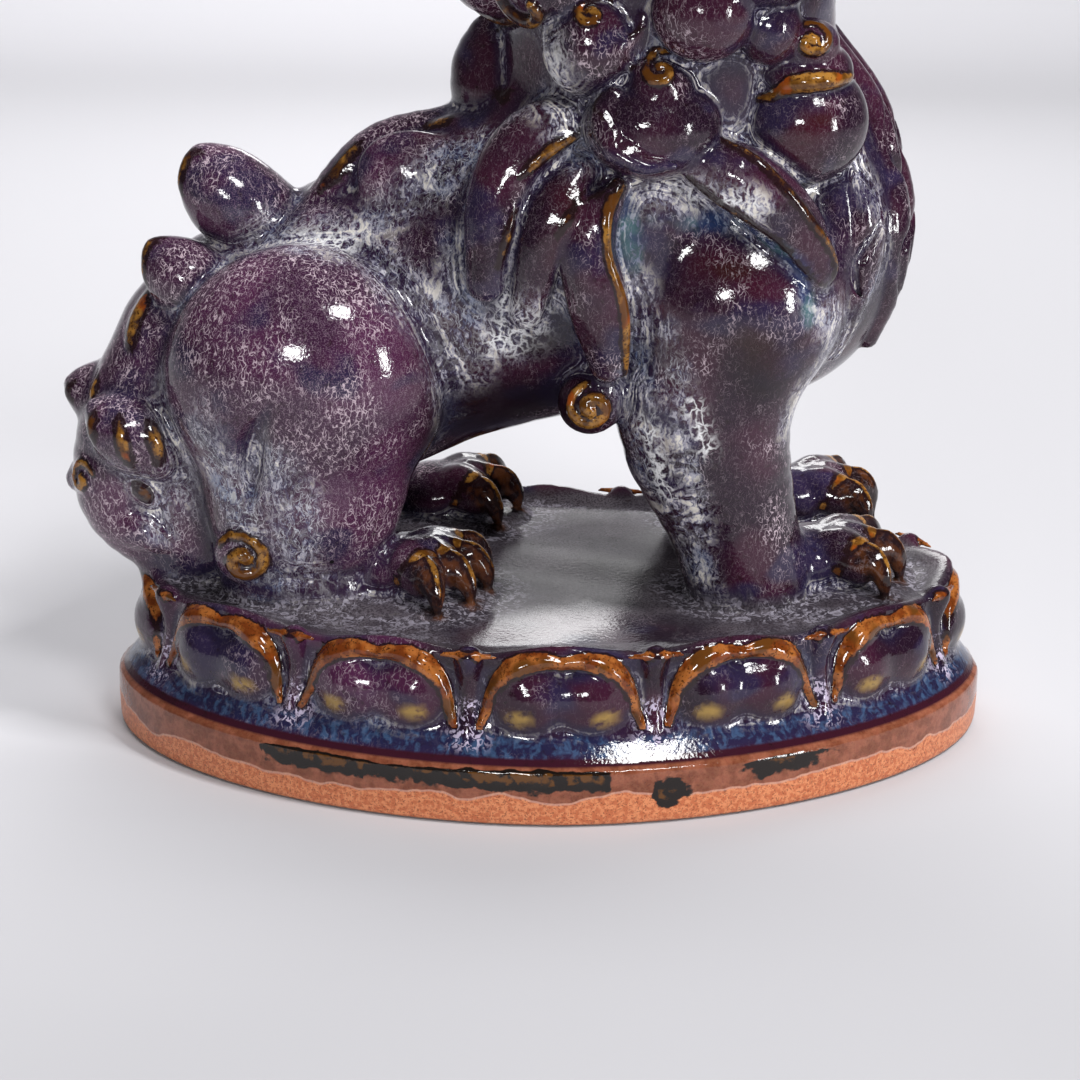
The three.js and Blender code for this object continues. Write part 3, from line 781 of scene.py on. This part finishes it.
keep("rust", streams([
    ([(46, -38, 116), (52, -37, 108)], 6),
    ([(60, -38, 170), (55, -40, 164)], 5),
    ([(33, -33, 136), (46, -36, 130)], 5),
    ([(-90, -24, 84), (-89, -22, 66)], 2.5),
    ([(-64, -27, 56), (-63, -26, 48)], 3),
    ([(0, -36, 151), (-3, -35, 138)], 3),
], 5.0))

# Places on the foot band where drops of dark glaze ran together: each a path, and half its height
keep("drops", streams([
    ([(-76, -54.6, 13.6), (-60, -62, 13.4), (-40, -68.4, 12.8)], 1.8),
    ([(-50, -65.6, 13.0), (-24, -71.8, 12.9), (-8, -73.3, 13.2), (12, -73.4, 14.0)], 2.2),
    ([(43, -67.3, 12), (54, -64, 12.6), (66, -59, 11.8), (78, -53, 12.2)], 2.2),
    ([(80, -51.8, 11.6), (94, -42, 10.8), (109, -28, 11.3)], 2.2),
    ([(24, -71.8, 8.2), (27, -71.4, 8.8), (31, -70.6, 8.6)], 1.3),
    ([(-94, -42, 11.8), (-89, -45.4, 11.8)], 0.9),
    ([(-62, 61, 13), (-20, 72, 12.5), (6, 73, 12.6)], 1.6),
    ([(58, 63, 12), (86, 48, 11)], 1.8),
], 1.2))

# The plinth's top, where the glaze is thin and dry
inset, across = oval_place(x, y)
glossy = streams([([(-16, -48, 41), (8, -44, 41), (34, -48, 41)], 13)], 9.0)
keep("shelf", fade(9, 14, inset) * (1 - fade(42.5, 45.5, z)) * (1 - 0.8 * glossy))
off_petal = np.abs((across + 0.5) % 1 - 0.5)
keep("gap", fade(0.36, 0.47, off_petal) * (1 - fade(8, 11, inset)))


def colour(code):
    """A hex colour as linear numbers."""
    parts = [int(code[i:i + 2], 16) / 255 for i in (1, 3, 5)]
    return tuple(c / 12.92 if c <= 0.04045 else ((c + 0.055) / 1.055) ** 2.4 for c in parts) + (1.0,)


def add_node(tree, kind, inputs=(), **settings):
    node = tree.nodes.new(kind)
    for name, value in settings.items():
        setattr(node, name, value)
    for name, value in dict(inputs).items():
        socket = node.inputs[name]
        if isinstance(value, bpy.types.NodeSocket):
            tree.links.new(value, socket)
        else:
            socket.default_value = value
    return node


def glaze_material():
    """Flambe glaze on stoneware: glossy aubergine with a pale broken net on the bulges, milky streaks where
    it pools, amber where it runs thin, a dry grey skin on the plinth's top, and the bare copper foot band."""
    material = bpy.data.materials.new("flambe_glaze_stoneware")
    material.use_nodes = True
    tree = material.node_tree
    tree.nodes.clear()

    def reading(name):
        return add_node(tree, "ShaderNodeAttribute", attribute_name=name).outputs["Fac"]

    def maths(operation, a, b=0.0, c=0.0):
        return add_node(tree, "ShaderNodeMath", {0: a, 1: b, 2: c}, operation=operation).outputs[0]

    def ramp(value, low, high):
        """From 0 at low to 1 at high, also where high is the smaller."""
        inputs = {"Value": value, "From Min": low, "From Max": high}
        return add_node(tree, "ShaderNodeMapRange", inputs, interpolation_type="SMOOTHSTEP").outputs["Result"]

    def mixed(share, a, b):
        inputs = {0: share, 6: a, 7: b}
        return add_node(tree, "ShaderNodeMix", inputs, data_type="RGBA").outputs[2]

    def scaled(vector, factor, operation="MULTIPLY"):
        inputs = {0: vector, 1: factor}
        return add_node(tree, "ShaderNodeVectorMath", inputs, operation=operation).outputs[0]

    def noise(vector, scale, detail=2.0, distortion=0.0, output="Fac"):
        inputs = {"Vector": vector, "Scale": scale, "Detail": detail, "Distortion": distortion}
        return add_node(tree, "ShaderNodeTexNoise", inputs).outputs[output]

    def net(vector, scale, width):
        """Thin lines between irregular cells, 1 on the line."""
        inputs = {"Vector": vector, "Scale": scale}
        cells = add_node(tree, "ShaderNodeTexVoronoi", inputs, feature="DISTANCE_TO_EDGE")
        return ramp(cells.outputs["Distance"], width, 0.0)

    def between(value, low, high, soft):
        return maths("MULTIPLY", ramp(value, low, low + soft), ramp(value, high + soft, high))

    def two_tone(vector, scale, detail, low, high, first, second):
        """Two colours in soft patches."""
        return mixed(ramp(noise(vector, scale, detail), low, high), colour(first), colour(second))

    position = add_node(tree, "ShaderNodeTexCoord").outputs["Object"]
    mm = scaled(position, (1000, 1000, 1000))
    ways = add_node(tree, "ShaderNodeSeparateXYZ", {0: mm}).outputs
    height = ways["Z"]
    hollow, crease, thin, gold_spot = (reading(name) for name in ("hollow", "crease", "amber", "gold"))
    milk_here, lace_here, teal_here = (reading(name) for name in ("milk", "lace", "teal"))
    rust_here, burnt_here, painted_shade_and_dark_glaze = (reading(name) for name in ("rust", "burnt", "painted_shade_and_dark_glaze"))
    drops, shelf, gap = (reading(name) for name in ("drops", "shelf", "gap"))
    wander = scaled(noise(mm, 0.3, 2.0, output="Color"), (0.5, 0.5, 0.5), "SUBTRACT")
    jitter = scaled(noise(mm, 1.3, 1.0, output="Color"), (0.5, 0.5, 0.5), "SUBTRACT")
    swayed = scaled(mm, scaled(wander, (4.2, 4.2, 6.0)), "ADD")
    bent = scaled(swayed, scaled(jitter, (0.6, 0.6, 0.9)), "ADD")

    # Colour of the deep glaze
    hind = ramp(ways["X"], -26, -48)
    dark = mixed(hind, colour("#200F1F"), colour("#331A30"))
    plum = mixed(hind, colour("#381629"), colour("#46203D"))
    body = mixed(ramp(noise(mm, 0.035, 2.0), 0.40, 0.60), dark, plum)
    body = mixed(ramp(noise(scaled(mm, (1, 1, 1.4)), 0.05, 2.0), 0.52, 0.66), body, colour("#281F3A"))
    body = mixed(maths("MULTIPLY", rust_here, 0.7), body, colour("#3C1019"))
    browner = maths("MULTIPLY", rust_here, ramp(noise(mm, 0.08, 1.0), 0.48, 0.62))
    body = mixed(browner, body, colour("#32180F"))
    # Near black where there is painted shade under the belly and in gaps, and darker glaze on the shoulder
    body = mixed(maths("MULTIPLY", painted_shade_and_dark_glaze, 0.85), body, colour("#140C14"))

    # Pale broken net on the bulges, its cells drawn out upwards
    paler = maths("MULTIPLY_ADD", hind, 0.11, maths("MULTIPLY", milk_here, 0.08))
    amount = ramp(maths("ADD", paler, noise(mm, 0.06, 3.0)), 0.47, 0.70)
    cells = net(scaled(swayed, (1, 1, 0.36)), 0.8, maths("MULTIPLY_ADD", amount, 0.06, 0.035))
    broken = ramp(noise(scaled(mm, (1, 1, 0.6)), 0.8, 2.0), 0.40, 0.56)
    turn = noise(scaled(bent, (1, 1, 0.4)), 0.6, 1.0)
    worm = ramp(maths("ABSOLUTE", maths("SUBTRACT", turn, 0.5)), 0.015, 0.003)
    worm = maths("MULTIPLY", worm, ramp(noise(mm, 0.6, 2.0), 0.46, 0.58))
    dash = ramp(noise(scaled(bent, (1, 1, 0.35)), 1.8, 1.0), 0.64, 0.74)
    curl = maths("MULTIPLY", maths("MAXIMUM", worm, dash), 0.55)
    speck = maths("MAXIMUM", maths("MULTIPLY", cells, broken), curl)
    calm = ramp(height, 52, 44)
    speck = maths("MULTIPLY", speck, maths("MULTIPLY_ADD", amount, 0.75, 0.2))
    for quiet, share in ((calm, 0.6), (rust_here, 0.6), (painted_shade_and_dark_glaze, 0.95)):
        speck = maths("MULTIPLY", speck, maths("MULTIPLY_ADD", quiet, -share, 1.0))

    # Fine pale dust, mostly on the hind part
    dust = maths("MULTIPLY", ramp(noise(mm, 3.2, 1.0), 0.50, 0.68), maths("MULTIPLY_ADD", hind, 0.30, 0.08))
    for quiet in (calm, painted_shade_and_dark_glaze):
        dust = maths("MULTIPLY", dust, maths("SUBTRACT", 1.0, quiet))
    body = mixed(dust, body, colour("#8C7186"))
    body = mixed(maths("MULTIPLY", speck, 0.9), body, mixed(milk_here, colour("#CFBBC5"), colour("#D8DBE4")))

    # Pale streams that follow the hollows and run downwards
    bends = {0: maths("MULTIPLY", hollow, 6.5), 1: maths("MULTIPLY", crease, 4.0)}
    flow = add_node(tree, "ShaderNodeCombineXYZ", bends).outputs[0]
    along = scaled(scaled(mm, (0.12, 0.12, 0.05)), flow, "ADD")
    strands = noise(scaled(along, scaled(wander, (0.8, 0.8, 0.8)), "ADD"), 1.0, 4.0, 0.3)
    runs = noise(scaled(bent, (1, 1, 0.15)), 1.1, 2.0)
    streak = maths("MULTIPLY_ADD", strands, 0.6, maths("MULTIPLY", runs, 0.4))
    milk = mixed(ramp(streak, 0.45, 0.49), colour("#1E1B2E"), colour("#56546E"))
    milk = mixed(ramp(streak, 0.51, 0.54), milk, colour("#B2AFBC"))
    milk = mixed(ramp(streak, 0.56, 0.60), milk, colour("#F4EEE4"))
    bluer = maths("MULTIPLY", ramp(noise(mm, 0.06, 2.0), 0.52, 0.66), 0.6)
    milk = mixed(bluer, milk, colour("#455F86"))
    wet = maths("MAXIMUM", maths("MULTIPLY", ramp(hollow, 0.35, 1.2), 0.85), milk_here)
    wet = maths("MULTIPLY", wet, maths("MULTIPLY_ADD", ramp(noise(bent, 0.14, 3.0), 0.36, 0.56), 0.6, 0.4))
    wet = maths("MULTIPLY", wet, maths("MULTIPLY_ADD", ramp(streak, 0.46, 0.53), 0.72, 0.2))
    wet = maths("MULTIPLY", wet, maths("MULTIPLY_ADD", painted_shade_and_dark_glaze, -0.95, 1.0))
    # Painted shade: darker towards #1B1730 the deeper a point lies in a hollow
    body = mixed(maths("MULTIPLY", ramp(hollow, -0.1, 0.5), 0.6), body, colour("#1B1730"))
    body = mixed(wet, body, milk)

    # Lace over the palest streams, and the teal and blue pools round the shoulder
    lace = net(scaled(bent, (1, 1, 0.7)), 0.42, 0.18)
    lace = maths("MULTIPLY", lace, ramp(noise(mm, 0.25, 3.0), 0.36, 0.52))
    lace = maths("MULTIPLY", lace, maths("MULTIPLY_ADD", milk_here, 0.15, lace_here))
    lace = maths("MULTIPLY", lace, maths("MULTIPLY_ADD", painted_shade_and_dark_glaze, -0.8, 1.0))
    body = mixed(lace, body, colour("#EEEEF0"))
    pool = two_tone(mm, 0.09, 2.0, 0.46, 0.60, "#263A62", "#466F72")
    pool = mixed(ramp(runs, 0.54, 0.64), pool, colour("#7F8CA6"))
    body = mixed(maths("MULTIPLY", teal_here, 0.8), body, pool)

    # Blue band under the petals, froth between them and a dark line at the ledge
    skirt = maths("MULTIPLY_ADD", noise(mm, 0.12, 2.0), 5.0, height)
    blue = two_tone(scaled(bent, (1, 1, 0.4)), 0.5, 2.0, 0.44, 0.66, "#1D2344", "#3E5C80")
    body = mixed(maths("MULTIPLY", between(skirt, 18.4, 23.2, 2.2), 0.6), body, blue)
    froth = ramp(noise(scaled(bent, (1, 1, 0.6)), 0.6, 2.0, 1.4), 0.50, 0.60)
    froth = maths("MULTIPLY", froth, maths("MULTIPLY", between(height, 17.4, 29.0, 3.0), gap))
    body = mixed(maths("MULTIPLY", froth, 0.9), body, colour("#C4B8D0"))
    body = mixed(between(height, 14.0, 17.2, 0.7), body, colour("#34121F"))

    # Dry grey top of the plinth with fine dark grain
    dry = two_tone(mm, 0.05, 3.0, 0.40, 0.62, "#5A545A", "#3E393F")
    grain = ramp(noise(mm, 1.8, 1.0), 0.46, 0.60)
    dry = mixed(maths("MULTIPLY", grain, 0.7), dry, colour("#252126"))
    swirl = maths("MULTIPLY", ramp(noise(bent, 0.5, 2.0, 1.2), 0.48, 0.62), ramp(hollow, 0.02, 0.45))
    dry = mixed(swirl, dry, colour("#8F8A95"))
    body = mixed(maths("MULTIPLY", shelf, 0.92), body, dry)

    # Claws fire nearly black, and ridges amber with a dark line where they meet the deep glaze
    dark_brown = two_tone(mm, 0.25, 2.0, 0.42, 0.66, "#1D100C", "#573012")
    body = mixed(maths("MULTIPLY", burnt_here, 0.85), body, dark_brown)
    honey = two_tone(mm, 0.28, 3.0, 0.40, 0.60, "#5C380F", "#996B2E")
    rusty = two_tone(mm, 0.28, 3.0, 0.40, 0.62, "#68300F", "#9C5C2A")
    amber_tint = mixed(calm, honey, rusty)
    amber_tint = mixed(ramp(noise(mm, 1.5, 2.0), 0.54, 0.68), amber_tint, colour("#40200A"))
    amber_tint = mixed(ramp(noise(mm, 0.12, 2.0), 0.58, 0.70), amber_tint, colour("#954713"))
    amber_tint = mixed(ramp(noise(mm, 0.09, 1.0), 0.56, 0.64), amber_tint, colour("#5A3411"))
    edge = maths("MULTIPLY_ADD", noise(mm, 0.5, 3.0), 0.6, maths("SUBTRACT", thin, 0.3))
    body = mixed(maths("MULTIPLY", ramp(edge, 0.02, 0.25), 0.9), body, colour("#1F0F10"))
    body = mixed(ramp(edge, 0.45, 0.72), body, amber_tint)
    olive = maths("MULTIPLY", gold_spot, ramp(noise(mm, 0.4, 2.0), 0.25, 0.5))
    body = mixed(maths("MULTIPLY", olive, 0.85), body, colour("#A88845"))

    # Bare foot band: copper, with a thin brown wash near the top, dark glossy drops and a dark lower edge
    # that is painted shade along the bottom bevel
    band = ramp(height, FOOT_TOP + 0.3, FOOT_TOP - 0.3)
    copper = two_tone(mm, 0.9, 2.0, 0.38, 0.62, "#BA663F", "#D5875B")
    fired = ramp(noise(mm, 2.2, 1.0), 0.56, 0.68)
    copper = mixed(maths("MULTIPLY", fired, 0.7), copper, colour("#6E3820"))
    drift = maths("MULTIPLY_ADD", noise(scaled(mm, (1, 1, 0.3)), 0.045, 3.0), 13.0, height)
    washed = ramp(drift, 14.8, 15.3)
    wash = two_tone(mm, 0.25, 3.0, 0.4, 0.6, "#5E3225", "#7E4A3A")
    copper = mixed(maths("MULTIPLY", washed, 0.85), copper, wash)
    lip = maths("MULTIPLY", between(drift, 14.3, 14.9, 0.4), 0.5)
    copper = mixed(lip, copper, colour("#B79A90"))
    pooling = noise(scaled(mm, (1, 1, 1.5)), 0.24, 3.0)
    pooling = maths("MULTIPLY_ADD", pooling, 0.8, maths("SUBTRACT", drops, 0.60))
    pooled = ramp(pooling, 0.0, 0.12)
    copper = mixed(pooled, copper, colour("#17100D"))
    core = maths("MULTIPLY", ramp(pooling, 0.40, 0.55), ramp(noise(mm, 0.35, 3.0), 0.42, 0.55))
    copper = mixed(core, copper, colour("#5A3712"))
    # Painted shade along the bevel at the foot's bottom
    copper = mixed(maths("MULTIPLY", ramp(height, 1.2, 0.2), 0.7), copper, colour("#4A3A38"))
    body = mixed(band, body, copper)

    # The pinhole in the haunch's glaze, not carved but painted near black as the shade inside it, which
    # reaches some way along Y to meet the skin
    through = (1, 0.12, 1)
    pin = tuple(way * share for way, share in zip(PINHOLE, through))
    away = add_node(tree, "ShaderNodeVectorMath", {0: scaled(mm, through), 1: pin}, operation="DISTANCE")
    body = mixed(ramp(away.outputs["Value"], 0.7, 0.45), body, colour("#0A0608"))

    # Wet gloss on the glaze, a satin dry top and a duller bare foot
    dull = maths("MULTIPLY", band, maths("SUBTRACT", 1.0, maths("MAXIMUM", washed, pooled)))
    bump = add_node(tree, "ShaderNodeBump",
                    {"Height": noise(mm, 0.9, 2.0), "Strength": 1.0, "Distance": ORANGE_PEEL})
    shader = add_node(tree, "ShaderNodeBsdfPrincipled", {
        "Base Color": body,
        "Roughness": maths("MULTIPLY_ADD", dull, 0.30, maths("MULTIPLY_ADD", shelf, 0.16, 0.08)),
        "Specular IOR Level": maths("MULTIPLY_ADD", shelf, -0.45, 0.5),
        "Normal": bump.outputs["Normal"],
        "IOR": 1.5,
    })
    add_node(tree, "ShaderNodeOutputMaterial", {"Surface": shader.outputs[0]})
    return material


def paper_material():
    """Pale matt backdrop paper, its colour painted darker in steps towards the front and towards +X, as
    painted shade for the uneven fall of the studio's light.
    """
    material = bpy.data.materials.new("pale_paper")
    material.use_nodes = True
    tree = material.node_tree
    shader = tree.nodes["Principled BSDF"]
    shader.inputs["Roughness"].default_value = 0.9
    place = add_node(tree, "ShaderNodeTexCoord").outputs["Object"]
    ways = add_node(tree, "ShaderNodeSeparateXYZ", {0: place}).outputs
    tint = colour("#FAF9FE")
    # Painted shade: each step multiplies the paper's colour darker across a span of Y or X
    painted_falloff = (
        ("Y", 1.7, 1.1, "#D2D2D2"),
        ("Y", 1.0, 0.1, "#F6F6F6"),
        ("Y", -0.03, -0.2, "#ECECEC"),
        ("Y", -0.3, -0.9, "#A8A8A8"),
        ("X", 0.0, 0.2, "#EFEFEF"),
    )
    for way, start, stop, code in painted_falloff:
        fall = add_node(tree, "ShaderNodeMapRange",
                        {"Value": ways[way], "From Min": start, "From Max": stop},
                        interpolation_type="SMOOTHSTEP")
        tint = add_node(tree, "ShaderNodeMix", {0: fall.outputs["Result"], 6: tint, 7: colour(code)},
                        data_type="RGBA", blend_type="MULTIPLY").outputs[2]
    tree.links.new(tint, shader.inputs["Base Color"])
    return material


finished.materials.clear()
finished.materials.append(glaze_material())
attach(beast, "root")
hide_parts("beast_on_lotus_plinth")

# Pale floor that curves up behind into a backdrop
SWEEP_BACK = 1.3
SWEEP_RADIUS = 0.8
SWEEP_HIGH = 3.0
SWEEP_WIDE = 4.0
SWEEP_FRONT = -4.0
SWEEP_STEPS = 24
profile = [(SWEEP_FRONT, 0.0), (SWEEP_BACK, 0.0)]
for i in range(1, SWEEP_STEPS + 1):
    angle = math.radians(90 * i / SWEEP_STEPS)
    profile.append((SWEEP_BACK + SWEEP_RADIUS * math.sin(angle), SWEEP_RADIUS * (1 - math.cos(angle))))
profile.append((SWEEP_BACK + SWEEP_RADIUS, SWEEP_HIGH))
sweep_points = [(side * SWEEP_WIDE, y, z) for y, z in profile for side in (-1, 1)]
sweep_faces = [(2 * i, 2 * i + 1, 2 * i + 3, 2 * i + 2) for i in range(len(profile) - 1)]
floor_mesh = bpy.data.meshes.new("pale_floor")
floor_mesh.from_pydata(sweep_points, [], sweep_faces)
floor_mesh.shade_smooth()
floor = bpy.data.objects.new("pale_floor", floor_mesh)
bpy.context.scene.collection.objects.link(floor)
floor_mesh.materials.append(paper_material())

# Camera at the photograph's angle
AIM = Vector((-3.5, 0, 49.93)) * MM
AZIMUTH = math.radians(-2.17)
ELEVATION = math.radians(20)
DISTANCE = 0.6
ROLL = 0.014
SENSOR = 36
FOCAL_PIXELS = 2196
FRAME_PIXELS = 1080
back = Vector((math.sin(AZIMUTH) * math.cos(ELEVATION), -math.cos(AZIMUTH) * math.cos(ELEVATION),
               math.sin(ELEVATION)))
lens = bpy.data.cameras.new("camera")
lens.sensor_width = SENSOR
lens.lens = SENSOR * FOCAL_PIXELS / FRAME_PIXELS
lens.clip_start = 0.02
camera = bpy.data.objects.new("camera", lens)
camera.rotation_mode = "QUATERNION"
camera.location = AIM + back * DISTANCE
tilt = Matrix.Rotation(ROLL, 3, "Z").to_quaternion()
camera.rotation_quaternion = (-back).to_track_quat("-Z", "Y") @ tilt
bpy.context.scene.collection.objects.link(camera)
bpy.context.scene.camera = camera


def soft_light(name, place, size, power, target=(0, 0, 0.12)):
    """A soft light aimed at the middle of the beast, or at another target."""
    lamp = bpy.data.lights.new(name, "AREA")
    lamp.shape = "RECTANGLE"
    lamp.size, lamp.size_y = size
    lamp.energy = power
    holder = bpy.data.objects.new(name, lamp)
    holder.location = place
    holder.rotation_mode = "QUATERNION"
    aim = Vector(target) - Vector(place)
    holder.rotation_quaternion = aim.to_track_quat("-Z", "Y")
    bpy.context.scene.collection.objects.link(holder)
    return holder


soft_light("overhead", (0.46, -0.25, 1.12), (0.16, 0.16), 9).visible_glossy = False
soft_light("key", (0.42, -0.84, 0.98), (0.30, 0.22), 6.5)
soft_light("beside_camera", (-0.22, -1.16, 0.34), (0.22, 0.14), 4)
soft_light("low_right", (0.92, -0.80, 0.20), (0.12, 0.34), 4.2)
soft_light("behind", (0.10, 1.0, 0.49), (0.30, 0.20), 0.95)
soft_light("backdrop", (0.0, 1.0, 1.6), (2.4, 0.5), 34).visible_glossy = False
soft_light("wall", (0.35, 0.9, 1.3), (0.6, 0.3), 3.6, (0.3, 2.1, 0.4)).visible_glossy = False

world = bpy.data.worlds.new("studio")
world.use_nodes = True
world.node_tree.nodes["Background"].inputs["Color"].default_value = colour("#EDEDF2")
world.node_tree.nodes["Background"].inputs["Strength"].default_value = 0.06
bpy.context.scene.world = world
bpy.context.scene.view_settings.view_transform = "Standard"
